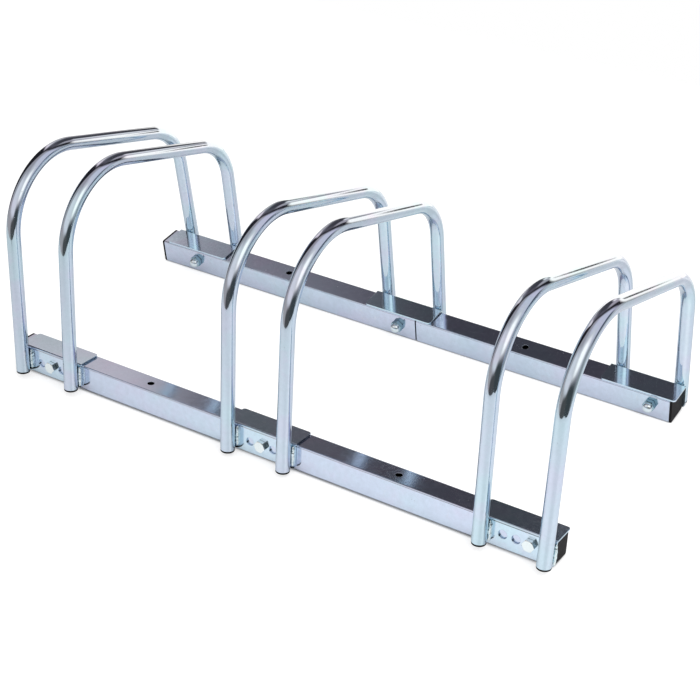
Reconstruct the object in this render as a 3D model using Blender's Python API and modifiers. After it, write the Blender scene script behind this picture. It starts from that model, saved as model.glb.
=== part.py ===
# Floor rack for three bicycles: six bent tube hoops in three pairs, welded to folded brackets
# that are bolted over two square floor rails. Nothing moves in use.
#
# Units are metres. +X runs along the rails, left to right as seen from the front, +Y runs from the
# front rail to the rear rail, +Z is up. The origin is on the floor, midway between the rails and
# midway along the rack.
#
# Each rail, with all that is fixed to it, is modelled upright in its own frame and then rolled
# inwards with the hoop legs. In that frame x runs along the rail, y runs from the rail's outer
# face towards the other rail and z runs up from the rail's underside. The rear rail's frame is
# turned about, so its x runs the other way.

import math

import bmesh
import bpy
from mathutils import Matrix, Vector

# Rails
railLength = {"front": 0.7045, "rear": 0.7075}     # over both end caps, as pushed together
railSpread = 0.3137          # between the two rails' outer lower edges
railSide = 0.030             # square section
railWall = 0.0015
railCorner = 0.002           # outside corner radius
seamFromLeft = 0.379         # where the left length of each rail ends
seamGap = 0.0008             # open joint that shows between the two lengths
tongueLength = 0.060         # narrowed end of the right length, inside the left one
taperLength = 0.004          # from the full section down to the tongue
anchorDiameter = 0.008       # floor screw holes, straight down through each length
anchorFromEnd = 0.1885

# Hoops
tubeDiameter = 0.0160
tubeWall = 0.0012
frontBend = 0.0847           # centre-line radius of the tall bend
rearBend = 0.0700            # centre-line radius of the low bend
barSlope = math.radians(19.1)    # the bar between the bends falls towards the rear
frontLean = math.radians(7.6)    # front legs lean back, and the front rail rolls with them
rearLean = math.radians(4.0)     # rear legs lean forward
frontLegRise = 0.1747        # height of the tall bend's lower end
hoopSpacingFront = 0.0728    # centre to centre of the two hoops that hold one wheel
hoopSpacingRear = 0.0708
pairShiftFront = (0.0005, -0.0014, 0.0009)     # how far each pair was welded off its bracket
sidewaysLean = (-1.25, 0.1, -0.3, 0.4, -0.4, 0.4)    # degrees, each hoop as it was welded
frontFootRise = (0.0, -0.0012, 0.0024)         # each pair's front feet against the usual height

# Brackets
bracketLength = 0.090
plateThickness = 0.002
foldRadius = 0.003           # outside radius of the fold
freeCornerRadius = 0.0035
plateDrop = 0.0017           # the plate stops this far above the rail's underside
flangeEdgeInset = 0.0005     # the flange stops this short of the rail's inner face
bracketHoleDiameter = 0.010
holePitch = 0.0151
holeShift = 0.0009           # the three holes sit this far right of the bracket's middle
holeHeight = {"front": (0.0152, 0.0152, 0.0176), "rear": (0.0163, 0.0153, 0.0176)}
bracketFromLeftFront = (0.0545, 0.3526, 0.6620)
bracketFromLeftRear = (0.0535, 0.3542, 0.6655)
boltedHole = (0, 0, 1)       # 0 is the middle hole of three, 1 the right-hand one
boltHigh = 0.0005            # the bolts sit this far above and right of their holes' middles
boltRight = 0.0004

# Bolts and nuts
boltDiameter = 0.008
headAcrossFlats = 0.013
headHeight = 0.0053
nutHeight = 0.0050
boltOvershoot = 0.0020       # thread that stands out of the nut
headChamfer = 0.0007
headTurn = {"front": (-8, -8, -8), "rear": (0, 0, 0)}     # degrees, as each was tightened
nutTurn = {"front": (0, 0, 0), "rear": (23, 23, -2)}

# Plastic parts
capRim = 0.0026
capEdge = 0.0006
capInsertLength = 0.012
capInsertWall = 0.0016
plugRimHeight = 0.0022
plugRimInset = 0.0006        # the rim is this much smaller than the tube, all round
plugStemLength = 0.012
plugEdge = 0.0007
footHeight = 0.0010          # underside of a plug above the rail's underside

# Welds
beadRadius = 0.0017
beadTop = 0.0295             # above the rail's underside
beadBottom = 0.0045
beadStandoff = 0.0008        # the bead's middle off the plate

clearance = 0.0003           # between pieces that touch on the real rack

# Facets
cornerSteps = 2
tubeBevelResolution = 5
bendStep = math.radians(8.5)
roundSides = 16
beadSides = 8

# Sizes that follow
tubeRadius = tubeDiameter / 2
plateOuter = -(clearance + plateThickness)          # y of the plate's outer face
legOffset = tubeRadius + clearance - plateOuter     # leg axis outside the rail's outer face
flangeTop = railSide + clearance + plateThickness
boltHole = boltDiameter + 2 * clearance
leftEnd = -(bracketFromLeftRear[2] + bracketLength / 2) / 2
capInset = capRim + clearance
seamAt = leftEnd + seamFromLeft
tubeBore = tubeRadius - tubeWall
plugRimRadius = tubeRadius - plugRimInset
sides = ("front", "rear")
places = ("left", "middle", "right")


def cornerHeight(lean):
    """Height of a rolled rail's outer lower edge when its inner lower edge is on the floor."""
    flat = railSide - railCorner
    return flat * math.sin(lean) + railCorner * (1 - math.cos(lean))


leanOf = {"front": frontLean, "rear": rearLean}
rightEnd = {side: leftEnd + railLength[side] for side in sides}
bracketAt = {
    "front": [leftEnd + x for x in bracketFromLeftFront],
    "rear": [leftEnd + x for x in bracketFromLeftRear],
}
boltAt = {side: [x + holeShift + holePitch * hole + boltRight
                 for x, hole in zip(bracketAt[side], boltedHole)] for side in sides}
boltHeight = {side: [z + boltHigh for z in holeHeight[side]] for side in sides}


# Scene, collections and materials

def emptyScene():
    for thing in list(bpy.data.objects):
        bpy.data.objects.remove(thing, do_unlink=True)


def makeCollection(name):
    found = bpy.data.collections.new(name)
    bpy.context.scene.collection.children.link(found)
    return found


def makeMaterial(name, colour, roughness, metallic):
    material = bpy.data.materials.new(name)
    material.use_nodes = True
    shader = material.node_tree.nodes["Principled BSDF"]
    shader.inputs["Base Color"].default_value = (*colour, 1.0)
    shader.inputs["Roughness"].default_value = roughness
    shader.inputs["Metallic"].default_value = metallic
    material.diffuse_color = (*colour, 1.0)
    return material


def link(mesh, name, collection, parent=None, material=None):
    thing = bpy.data.objects.new(name, mesh)
    collection.objects.link(thing)
    if parent is not None:
        thing.parent = parent
    if material is not None:
        mesh.materials.clear()
        mesh.materials.append(material)
    return thing


def smooth(mesh, angle=35.0):
    mesh.shade_smooth()
    mesh.set_sharp_from_angle(angle=math.radians(angle))


def evaluatedMesh(thing):
    bpy.context.view_layer.update()
    graph = bpy.context.evaluated_depsgraph_get()
    return bpy.data.meshes.new_from_object(thing.evaluated_get(graph))


def weldMesh(mesh):
    work = bmesh.new()
    work.from_mesh(mesh)
    bmesh.ops.remove_doubles(work, verts=work.verts, dist=0.00002)
    bmesh.ops.recalc_face_normals(work, faces=work.faces)
    work.to_mesh(mesh)
    work.free()
    return mesh


def bakeBooleans(thing, cutters, operation="DIFFERENCE"):
    """Cut or join with each cutter in turn and keep the plain result."""
    for cutter in cutters:
        step = thing.modifiers.new("cut", "BOOLEAN")
        step.operation = operation
        step.solver = "EXACT"
        step.object = cutter
    baked = evaluatedMesh(thing)
    materials = list(thing.data.materials)
    old = thing.data
    thing.modifiers.clear()
    thing.data = baked
    if materials:
        baked.materials.clear()
        baked.materials.append(materials[0])
    bpy.data.meshes.remove(old)
    for cutter in cutters:
        used = cutter.data
        bpy.data.objects.remove(cutter, do_unlink=True)
        bpy.data.meshes.remove(used)
    return thing


# Basic solids

def barMesh(name, radius, start, end, around=roundSides):
    """A round bar between two points."""
    start, end = Vector(start), Vector(end)
    run = end - start
    turn = run.to_track_quat("Z", "Y").to_matrix().to_4x4()
    work = bmesh.new()
    bmesh.ops.create_cone(
        work, cap_ends=True, segments=around, radius1=radius, radius2=radius, depth=run.length,
        matrix=Matrix.Translation((start + end) / 2) @ turn)
    mesh = bpy.data.meshes.new(name)
    work.to_mesh(mesh)
    work.free()
    return mesh


def cutterBar(name, radius, start, end, parent, around=roundSides):
    cutter = link(barMesh(name, radius, start, end, around), name, cutters, parent)
    cutter.hide_render = True
    cutter.display_type = "WIRE"
    return cutter


def roundedSquare(half, radius, steps=cornerSteps):
    """Points of a rounded square about its centre, anticlockwise, as (across, up) pairs."""
    points = []
    for corner in range(4):
        middle = math.radians(45 + 90 * corner)
        centre = Vector((math.copysign(half - radius, math.cos(middle)),
                         math.copysign(half - radius, math.sin(middle))))
        for step in range(steps + 1):
            angle = math.radians(90 * corner + 90 * step / steps)
            points.append(centre + radius * Vector((math.cos(angle), math.sin(angle))))
    return points


def squareTubeMesh(name, stations):
    """A square tube lofted through stations of (x, outer half width, inner half width)."""
    work = bmesh.new()
    centre = railSide / 2
    skins = {"outer": [], "inner": []}
    for x, outerHalf, innerHalf in stations:
        for skin, half in (("outer", outerHalf), ("inner", innerHalf)):
            radius = max(railCorner - (railSide / 2 - half), railCorner / 4)
            ring = [work.verts.new((x, centre + across, centre + up))
                    for across, up in roundedSquare(half, radius)]
            skins[skin].append(ring)

    def join(first, second):
        count = len(first)
        for i in range(count):
            j = (i + 1) % count
            work.faces.new((first[i], first[j], second[j], second[i]))

    for rings in skins.values():
        for first, second in zip(rings, rings[1:]):
            join(first, second)
    for end in (0, -1):
        join(skins["outer"][end], skins["inner"][end])
    bmesh.ops.recalc_face_normals(work, faces=work.faces)
    mesh = bpy.data.meshes.new(name)
    work.to_mesh(mesh)
    work.free()
    return mesh


def flatCurveMesh(name, outlines, thickness):
    """A flat plate from closed outlines in XY, centred on z = 0; inner outlines are holes."""
    curve = bpy.data.curves.new(name, "CURVE")
    curve.dimensions = "2D"
    curve.fill_mode = "BOTH"
    curve.extrude = thickness / 2
    for outline in outlines:
        spline = curve.splines.new("POLY")
        spline.points.add(len(outline) - 1)
        for point, place in zip(spline.points, outline):
            point.co = (place[0], place[1], 0.0, 1.0)
        spline.use_cyclic_u = True
    holder = bpy.data.objects.new(name, curve)
    bpy.context.scene.collection.objects.link(holder)
    mesh = weldMesh(evaluatedMesh(holder))
    bpy.data.objects.remove(holder, do_unlink=True)
    bpy.data.curves.remove(curve)
    mesh.name = name
    return mesh


def bevelEdges(mesh, wanted, offset, segments):
    """Round the edges that the test picks, by their two ends."""
    work = bmesh.new()
    work.from_mesh(mesh)
    bmesh.ops.dissolve_limit(work, angle_limit=math.radians(0.5), verts=work.verts, edges=work.edges)
    picked = [edge for edge in work.edges if wanted(edge.verts[0].co, edge.verts[1].co)]
    bmesh.ops.bevel(work, geom=picked, offset=offset, segments=segments, profile=0.5,
                    affect="EDGES", clamp_overlap=True)
    work.to_mesh(mesh)
    work.free()
    return mesh


# Rails and their end caps

def makeRails(side, parent):
    """Two lengths of square tube; the right one has a narrowed tongue that slides into the left."""
    mirror = 1 if side == "front" else -1
    half = railSide / 2
    bore = half - railWall
    tongue = bore - clearance
    seam = seamAt

    lengths = {
        "left": [(leftEnd + capInset, half, bore), (seam, half, bore)],
        "right": [(seam - tongueLength, tongue, tongue - railWall),
                  (seam + seamGap, tongue, tongue - railWall),
                  (seam + seamGap + clearance, half, tongue - railWall),
                  (seam + seamGap + taperLength, half, bore),
                  (rightEnd[side] - capInset, half, bore)],
    }
    anchors = {"left": leftEnd + anchorFromEnd, "right": rightEnd[side] - anchorFromEnd}
    for place, stations in lengths.items():
        name = f"rail_{side}_{place}"
        placed = [(mirror * x, outer, inner) for x, outer, inner in stations]
        rail = link(squareTubeMesh(name, placed), name, parts, parent, zinc)
        low, high = stations[0][0], stations[-1][0]
        holes = [cutterBar(f"{name}_anchor", anchorDiameter / 2,
                           (mirror * anchors[place], half, -half),
                           (mirror * anchors[place], half, railSide + half), parent)]
        for number, (x, z) in enumerate(zip(boltAt[side], boltHeight[side])):
            if low < x < high:
                holes.append(cutterBar(f"{name}_bolt_{number}", boltHole / 2,
                                       (mirror * x, -half, z),
                                       (mirror * x, railSide + half, z), parent))
        bakeBooleans(rail, holes)
        smooth(rail.data)


def makeEndCap(side, place, parent):
    """Plastic cap: a flat face over the tube's end and a hollow insert inside it."""
    name = f"end_cap_{side}_{place}"
    mirror = 1 if side == "front" else -1
    outward = mirror if place == "right" else -mirror
    face = mirror * (rightEnd[side] if place == "right" else leftEnd)
    half = railSide / 2
    insertHalf = half - railWall - clearance
    wall = capInsertWall

    front = flatCurveMesh(name, [roundedSquare(half, railCorner)], capRim)
    bevelEdges(front, lambda p, q: min(p.z, q.z) > capRim / 2 - 1e-6, capEdge, 2)
    reach = capInsertLength + capRim / 2
    insert = flatCurveMesh(name + "_insert",
                           [roundedSquare(insertHalf, railCorner / 2),
                            roundedSquare(insertHalf - wall, railCorner / 4)], reach)
    cap = link(front, name, parts, parent, blackPlastic)
    joined = link(insert, name + "_insert", cutters, parent)
    turn = Matrix.Rotation(math.radians(90) * outward, 4, "Y")
    toEnd = Matrix.Translation((face - outward * capRim / 2, half, half)) @ turn
    front.transform(toEnd)
    insert.transform(toEnd @ Matrix.Translation((0, 0, -reach / 2)))
    bakeBooleans(cap, [joined], "UNION")
    smooth(cap.data)


# Brackets

def bracketProfile():
    """Cross-section of the folded angle, as (y, z) points."""
    inner = foldRadius - plateThickness
    top, bottom = flangeTop, plateDrop
    outerY = plateOuter
    edgeY = railSide - flangeEdgeInset
    centre = Vector((outerY + foldRadius, top - foldRadius))
    points = [(outerY, bottom)]
    for step in range(cornerSteps + 1):
        angle = math.radians(180 - 90 * step / cornerSteps)
        points.append(tuple(centre + foldRadius * Vector((math.cos(angle), math.sin(angle)))))
    points += [(edgeY, top), (edgeY, top - plateThickness)]
    for step in range(cornerSteps + 1):
        angle = math.radians(90 + 90 * step / cornerSteps)
        points.append(tuple(centre + inner * Vector((math.cos(angle), math.sin(angle)))))
    points.append((outerY + plateThickness, bottom))
    return points


def makeBracket(side, place, parent, frontFoot, rearFoot):
    """Folded angle over the rail's top and outer face, with three holes, rounded free corners and
    the weld beads that hold its two legs."""
    name = f"bracket_{side}_{place}"
    number = places.index(place)
    mirror = 1 if side == "front" else -1
    middle = mirror * bracketAt[side][number]
    mesh = flatCurveMesh(name, [bracketProfile()], bracketLength)
    # the outline lies in XY and is extruded in Z: stand it up so that it runs along X
    mesh.transform(Matrix(((0, 0, 1, 0), (1, 0, 0, 0), (0, 1, 0, 0), (0, 0, 0, 1))))
    edgeY = railSide - flangeEdgeInset
    end = bracketLength / 2

    def freeCorner(p, q):
        atEnd = abs(abs(p.x) - end) < 1e-6 and abs(p.x - q.x) < 1e-6
        onFlangeEdge = abs(p.y - edgeY) < 1e-6 and abs(q.y - edgeY) < 1e-6
        onPlateFoot = abs(p.z - plateDrop) < 1e-6 and abs(q.z - plateDrop) < 1e-6
        return atEnd and (onFlangeEdge or onPlateFoot)

    bevelEdges(mesh, freeCorner, freeCornerRadius, 3)
    mesh.transform(Matrix.Translation((middle, 0, 0)))
    bracket = link(mesh, name, parts, parent, zinc)
    beads = makeBeads(side, number, parent, frontFoot, rearFoot)
    bakeBooleans(bracket, [link(beads, name + "_beads", cutters, parent)], "UNION")
    high = holeHeight[side][number]
    holes = [cutterBar(f"{name}_hole_{hole}", bracketHoleDiameter / 2,
                       (middle + mirror * (holeShift + holePitch * hole), 2 * plateOuter, high),
                       (middle + mirror * (holeShift + holePitch * hole), railWall, high), parent)
             for hole in (-1, 0, 1)]
    bakeBooleans(bracket, holes)
    smooth(bracket.data)


# Hoops

def hoopPath():
    """Centre line of a hoop in its own plane, as (y, z) points, with the leg directions.

    The front leg rises to the tall bend, a straight bar falls to the low bend, and the rear leg
    comes down. The legs lie against the brackets' plates, so their lines follow from the rails.
    """
    def legPoint(side, up):
        lean, out = leanOf[side], (-1 if side == "front" else 1)
        corner = Vector((out * railSpread / 2, cornerHeight(lean)))
        away = Vector((out * math.cos(lean), math.sin(lean)))
        rise = Vector((-out * math.sin(lean), math.cos(lean)))
        return corner + legOffset * away + up * rise

    tubeEnd = footHeight + plugRimHeight + clearance
    frontFoot = legPoint("front", tubeEnd)
    rearFoot = legPoint("rear", tubeEnd)
    headings = (math.radians(90) - frontLean, -barSlope, rearLean - math.radians(90))
    along = [Vector((math.cos(h), math.sin(h))) for h in headings]
    right = [Vector((math.sin(h), -math.cos(h))) for h in headings]

    points = [frontFoot]
    bendStart = frontFoot + along[0] * (frontLegRise - frontFoot.y) / along[0].y
    centre = bendStart + frontBend * right[0]
    points += arcPoints(centre, frontBend, headings[0], headings[1])

    # the bar's line meets the rear leg's line at a corner, which the low bend rounds off
    barStart = points[-1]
    across = along[1].cross(along[2])
    corner = barStart + along[1] * ((rearFoot - barStart).cross(along[2]) / across)
    tangent = rearBend * math.tan((headings[1] - headings[2]) / 2)
    barEnd = corner - tangent * along[1]
    centre = barEnd + rearBend * right[1]
    points += arcPoints(centre, rearBend, headings[1], headings[2])
    points.append(rearFoot)
    return points, frontFoot, rearFoot


def arcPoints(centre, radius, first, last):
    count = max(2, math.ceil(abs(last - first) / bendStep))
    points = []
    for step in range(count + 1):
        heading = first + (last - first) * step / count
        points.append(centre - radius * Vector((math.sin(heading), -math.cos(heading))))
    return points


def tubeMesh(name, points, radius):
    """A bent round tube with closed ends along 3D points."""
    curve = bpy.data.curves.new(name, "CURVE")
    curve.dimensions = "3D"
    curve.fill_mode = "FULL"
    curve.bevel_depth = radius
    curve.bevel_resolution = tubeBevelResolution
    curve.use_fill_caps = True
    spline = curve.splines.new("POLY")
    spline.points.add(len(points) - 1)
    for point, place in zip(spline.points, points):
        point.co = (*place, 1.0)
    holder = bpy.data.objects.new(name, curve)
    bpy.context.scene.collection.objects.link(holder)
    mesh = weldMesh(evaluatedMesh(holder))
    bpy.data.objects.remove(holder, do_unlink=True)
    bpy.data.curves.remove(curve)
    mesh.name = name
    return mesh


def hoopPlacement(number, frontFoot, rearFoot):
    """Where a hoop stands: its turn about the vertical and its sideways lean."""
    pair, hand = divmod(number, 2)
    side = -0.5 if hand == 0 else 0.5
    frontX = bracketAt["front"][pair] + pairShiftFront[pair] + side * hoopSpacingFront
    rearX = bracketAt["rear"][pair] + side * hoopSpacingRear
    turn = -math.atan2(rearX - frontX, rearFoot.x - frontFoot.x)
    lean = math.radians(sidewaysLean[number])
    return (Matrix.Translation((frontX, frontFoot.x, 0))
            @ Matrix.Rotation(turn, 4, "Z") @ Matrix.Rotation(lean, 4, "Y")
            @ Matrix.Translation((0, -frontFoot.x, 0)))


def makeHoop(number, parent):
    """One hoop with a bored socket in each end for its plug, and the two plugs."""
    path, frontFoot, rearFoot = hoopPath()
    place = hoopPlacement(number, frontFoot, rearFoot)
    pair = number // 2
    rises = {"front": frontFootRise[pair], "rear": 0.0}
    feet = {"front": frontFoot, "rear": rearFoot}
    upward = {"front": Vector((0, math.sin(frontLean), math.cos(frontLean))),
              "rear": Vector((0, -math.sin(rearLean), math.cos(rearLean)))}

    ends = {side: Vector((0, *feet[side])) + rises[side] * upward[side] for side in sides}
    points = [ends["front"]] + [Vector((0, y, z)) for y, z in path[1:-1]] + [ends["rear"]]
    name = f"hoop_{number + 1}"
    hoop = link(tubeMesh(name, points, tubeRadius), name, parts, parent, zinc)
    socketDepth = plugStemLength + plugRimHeight
    sockets = [cutterBar(f"{name}_{side}_socket", tubeBore,
                         ends[side] - upward[side] * railWall,
                         ends[side] + upward[side] * socketDepth, parent) for side in sides]
    bakeBooleans(hoop, sockets)
    hoop.matrix_local = place
    smooth(hoop.data)

    for side in sides:
        plug = link(plugMesh(f"foot_plug_{side}_{number + 1}"), f"foot_plug_{side}_{number + 1}",
                    parts, parent, blackPlastic)
        stand = upward[side].to_track_quat("Z", "Y").to_matrix().to_4x4()
        base = ends[side] - upward[side] * (clearance + plugRimHeight)
        plug.matrix_local = place @ Matrix.Translation(base) @ stand
        smooth(plug.data)


def plugMesh(name):
    """A turned plastic plug: a rim under the tube's end and a stem inside it."""
    stem = tubeBore - clearance
    top = plugRimHeight + plugStemLength
    profile = [(0, top), (stem, top), (stem, plugRimHeight), (plugRimRadius, plugRimHeight),
               (plugRimRadius, plugEdge), (plugRimRadius - plugEdge, 0), (0, 0)]
    mesh = bpy.data.meshes.new(name)
    points = [(radius, 0, height) for radius, height in profile]
    mesh.from_pydata(points, [(i, i + 1) for i in range(len(points) - 1)], [])
    holder = bpy.data.objects.new(name, mesh)
    bpy.context.scene.collection.objects.link(holder)
    screw = holder.modifiers.new("turn", "SCREW")
    screw.steps = screw.render_steps = roundSides
    screw.use_merge_vertices = True
    screw.merge_threshold = 0.00005
    baked = weldMesh(evaluatedMesh(holder))
    bpy.data.objects.remove(holder, do_unlink=True)
    bpy.data.meshes.remove(mesh)
    baked.name = name
    return baked


# Fasteners and welds

def hexMesh(name, height, turn, chamferBoth):
    """A hexagonal prism along +Y from y = 0, flats up and down, with its corners chamfered."""
    work = bmesh.new()
    radius = headAcrossFlats / math.sqrt(3)
    place = (Matrix.Rotation(-math.radians(turn), 4, "Y")
             @ Matrix.Translation((0, height / 2, 0))
             @ Matrix.Rotation(math.radians(-90), 4, "X")
             @ Matrix.Rotation(math.radians(30), 4, "Z"))
    bmesh.ops.create_cone(work, cap_ends=True, segments=6, radius1=radius, radius2=radius,
                          depth=height, matrix=place)
    rims = [edge for edge in work.edges
            if abs(edge.verts[0].co.y - edge.verts[1].co.y) < 1e-7
            and (chamferBoth or edge.verts[0].co.y < height / 2)]
    bmesh.ops.bevel(work, geom=rims, offset=headChamfer, segments=1, profile=0.5, affect="EDGES")
    mesh = bpy.data.meshes.new(name)
    work.to_mesh(mesh)
    work.free()
    return mesh


def makeBoltSet(side, place, parent):
    """Hex bolt from the outside and its nut on the rail's inner face."""
    number = places.index(place)
    mirror = 1 if side == "front" else -1
    x = mirror * boltAt[side][number]
    z = boltHeight[side][number]
    headFace = plateOuter - clearance
    nutStart = railSide + clearance
    boltEnd = nutStart + nutHeight + boltOvershoot

    name = f"bolt_{side}_{place}"
    head = hexMesh(name, headHeight, mirror * headTurn[side][number], False)
    head.transform(Matrix.Translation((x, headFace - headHeight, z)))
    bolt = link(head, name, parts, parent, boltZinc)
    shankMesh = barMesh(name + "_shank", boltDiameter / 2, (x, headFace - headHeight / 2, z),
                        (x, boltEnd, z))
    bakeBooleans(bolt, [link(shankMesh, name + "_shank", cutters, parent)], "UNION")
    smooth(bolt.data)

    name = f"nut_{side}_{place}"
    body = hexMesh(name, nutHeight, mirror * nutTurn[side][number], True)
    body.transform(Matrix.Translation((x, nutStart, z)))
    nut = link(body, name, parts, parent, boltZinc)
    bakeBooleans(nut, [cutterBar(name + "_bore", boltHole / 2, (x, nutStart - nutHeight, z),
                                 (x, nutStart + 2 * nutHeight, z), parent)])
    smooth(nut.data)


def makeBeads(side, number, parent, frontFoot, rearFoot):
    """Four upright fillet beads, one on each side of each leg, in the corner with the plate."""
    reach = tubeRadius + clearance + beadRadius
    axisOff = plateOuter - beadStandoff
    inward = legOffset + axisOff
    aside = math.sqrt(reach * reach - inward * inward)
    lean = leanOf[side]
    foot = frontFoot if side == "front" else rearFoot
    up = Vector((0, math.sin(lean) * (1 if side == "front" else -1), math.cos(lean)))
    intoSide = parent.matrix_world.inverted()
    work = bmesh.new()
    for hand in (0, 1):
        toWorld = hoopPlacement(2 * number + hand, frontFoot, rearFoot)
        start = intoSide @ toWorld @ Vector((0, *foot))
        ridge = intoSide.to_3x3() @ toWorld.to_3x3() @ up
        for edge in (-1, 1):
            low, high = (Vector((start.x + ridge.x / ridge.z * (height - start.z) + edge * aside,
                                 axisOff, height)) for height in (beadBottom, beadTop))
            addBead(work, low, high)
    mesh = bpy.data.meshes.new(f"beads_{side}_{number}")
    work.to_mesh(mesh)
    work.free()
    return mesh


def addBead(work, low, high):
    """A round bar with domed ends between two points."""
    run = high - low
    turn = run.to_track_quat("Z", "Y").to_matrix().to_4x4()
    made = bmesh.ops.create_uvsphere(work, u_segments=beadSides, v_segments=4, radius=beadRadius)
    stretch = run.length / 2 - beadRadius
    ends = {1: [], -1: []}
    for vert in made["verts"]:
        ends[1 if vert.co.z > 0 else -1].append(vert)
    for way, verts in ends.items():
        bmesh.ops.translate(work, vec=(0, 0, way * stretch), verts=verts)
    bmesh.ops.transform(work, matrix=Matrix.Translation((low + high) / 2) @ turn,
                        verts=made["verts"])


# Build

emptyScene()
parts = makeCollection("bicycle_rack")
cutters = makeCollection("cutters")
zinc = makeMaterial("bright_zinc", (0.72, 0.75, 0.80), 0.22, 1.0)
boltZinc = makeMaterial("bolt_zinc", (0.66, 0.70, 0.76), 0.30, 1.0)
blackPlastic = makeMaterial("black_plastic", (0.018, 0.018, 0.020), 0.55, 0.0)

frames = {}
for side in sides:
    frames[side] = bpy.data.objects.new(f"{side}_side", None)
    parts.objects.link(frames[side])
    outward = -1 if side == "front" else 1
    frames[side].location = (0, outward * railSpread / 2, cornerHeight(leanOf[side]))
    frames[side].rotation_euler = (-leanOf[side], 0, 0 if side == "front" else math.pi)
hoopFrame = bpy.data.objects.new("hoops", None)
parts.objects.link(hoopFrame)
bpy.context.view_layer.update()

frontEnd, rearEnd = hoopPath()[1:]
for side in sides:
    makeRails(side, frames[side])
    for place in ("left", "right"):
        makeEndCap(side, place, frames[side])
    for place in places:
        makeBracket(side, place, frames[side], frontEnd, rearEnd)
        makeBoltSet(side, place, frames[side])
for number in range(2 * len(places)):
    makeHoop(number, hoopFrame)

for spare in list(cutters.objects):
    bpy.data.objects.remove(spare, do_unlink=True)
bpy.context.view_layer.update()
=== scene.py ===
# Floor rack for three bicycles: bright zinc hoops, rails and brackets, black plastic caps and plugs.

import math

import bmesh
import bpy
from mathutils import Matrix, Vector


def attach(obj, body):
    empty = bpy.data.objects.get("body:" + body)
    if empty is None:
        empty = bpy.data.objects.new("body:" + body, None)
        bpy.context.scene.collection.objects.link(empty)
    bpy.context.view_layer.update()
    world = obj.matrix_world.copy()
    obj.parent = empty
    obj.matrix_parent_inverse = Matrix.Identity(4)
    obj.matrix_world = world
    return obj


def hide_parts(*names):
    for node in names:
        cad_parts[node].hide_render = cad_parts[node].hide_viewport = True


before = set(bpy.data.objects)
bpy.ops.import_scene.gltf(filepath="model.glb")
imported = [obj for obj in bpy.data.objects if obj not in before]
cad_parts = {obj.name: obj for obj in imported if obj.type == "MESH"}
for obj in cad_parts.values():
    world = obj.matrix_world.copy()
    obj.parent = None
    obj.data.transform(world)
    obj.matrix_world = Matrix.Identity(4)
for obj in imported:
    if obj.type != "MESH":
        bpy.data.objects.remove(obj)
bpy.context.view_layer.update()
print("frame loaded:", len(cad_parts), "solids")

sides = ("front", "rear")
places = ("left", "middle", "right")

rack = {    # metres and radians, as in the solids
    "leftEnd": -0.35525,
    "railLength": {"front": 0.7045, "rear": 0.7075},
    "railSpread": 0.3137,
    "railSide": 0.030,
    "railCorner": 0.002,
    "lean": {"front": math.radians(7.6), "rear": math.radians(4.0)},
    "bracketAt": {"front": (0.0545, 0.3526, 0.6620), "rear": (0.0535, 0.3542, 0.6655)},
    "plate": 0.002,
    "gap": 0.0003,    # between pieces that touch
    "holePitch": 0.0151,
    "holeShift": 0.0009,
    "holeHeight": {"front": (0.0152, 0.0152, 0.0176), "rear": (0.0163, 0.0153, 0.0176)},
    "boltedHole": (0, 0, 1),
    "boltHigh": 0.0005,    # how far the bolts sit off the middles of their holes
    "boltRight": 0.0004,
    "tubeRadius": 0.008,
    "footHeight": 0.0010,
    "plugRim": 0.0022,
}
plateOuter = -(rack["gap"] + rack["plate"])
legOffset = rack["tubeRadius"] + rack["gap"] - plateOuter
flangeTop = rack["railSide"] + rack["gap"] + rack["plate"]


# Where things stand

def cornerHeight(lean):    # of the rail's outer bottom corner, once the rail is rolled by its lean
    return ((rack["railSide"] - rack["railCorner"]) * math.sin(lean)
            + rack["railCorner"] * (1 - math.cos(lean)))


def makeSideFrame(side):
    # from the rail's outer bottom corner: x along it, y inwards through it and z up it
    lean = rack["lean"][side]
    out = -1 if side == "front" else 1
    turn = 0 if side == "front" else math.pi
    return (Matrix.Translation((0, out * rack["railSpread"] / 2, cornerHeight(lean)))
            @ Matrix.Rotation(turn, 4, "Z") @ Matrix.Rotation(-lean, 4, "X"))


sideFrame = {side: makeSideFrame(side) for side in sides}
handOf = {"front": 1, "rear": -1}    # x along a rail's own frame against the world's x


def bracketMiddle(side, number):
    return rack["leftEnd"] + rack["bracketAt"][side][number]


def boltPlace(side, number):
    x = (bracketMiddle(side, number) + rack["holeShift"] + rack["boltRight"]
         + rack["holePitch"] * rack["boltedHole"][number])
    return handOf[side] * x, rack["holeHeight"][side][number] + rack["boltHigh"]


def direction(azimuth, elevation):
    return Vector((math.sin(azimuth) * math.cos(elevation), math.cos(azimuth) * math.cos(elevation),
                   math.sin(elevation)))


# Meshes

def newObject(name, mesh):
    thing = bpy.data.objects.new(name, mesh)
    bpy.context.scene.collection.objects.link(thing)
    return thing


def bake(thing):    # the evaluated shape as a plain mesh, modifiers gone
    bpy.context.view_layer.update()
    graph = bpy.context.evaluated_depsgraph_get()
    mesh = bpy.data.meshes.new_from_object(thing.evaluated_get(graph))
    thing.modifiers.clear()
    thing.data = mesh
    mesh.name = thing.name


def fromBmesh(name, work):
    mesh = bpy.data.meshes.new(name)
    bmesh.ops.recalc_face_normals(work, faces=work.faces)
    work.to_mesh(mesh)
    work.free()
    return newObject(name, mesh)


def addModifier(thing, kind, **values):
    step = thing.modifiers.new(kind.lower(), kind)
    for key, value in values.items():
        setattr(step, key, value)


def cutWith(thing, cutters, operation="DIFFERENCE"):
    for cutter in cutters:
        addModifier(thing, "BOOLEAN", operation=operation, solver="EXACT", object=cutter)
    bake(thing)
    for cutter in cutters:
        bpy.data.objects.remove(cutter, do_unlink=True)


def addBevel(thing, width, segments, degrees):
    addModifier(thing, "BEVEL", width=width, segments=segments, limit_method="ANGLE",
                angle_limit=math.radians(degrees), harden_normals=False)


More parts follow.
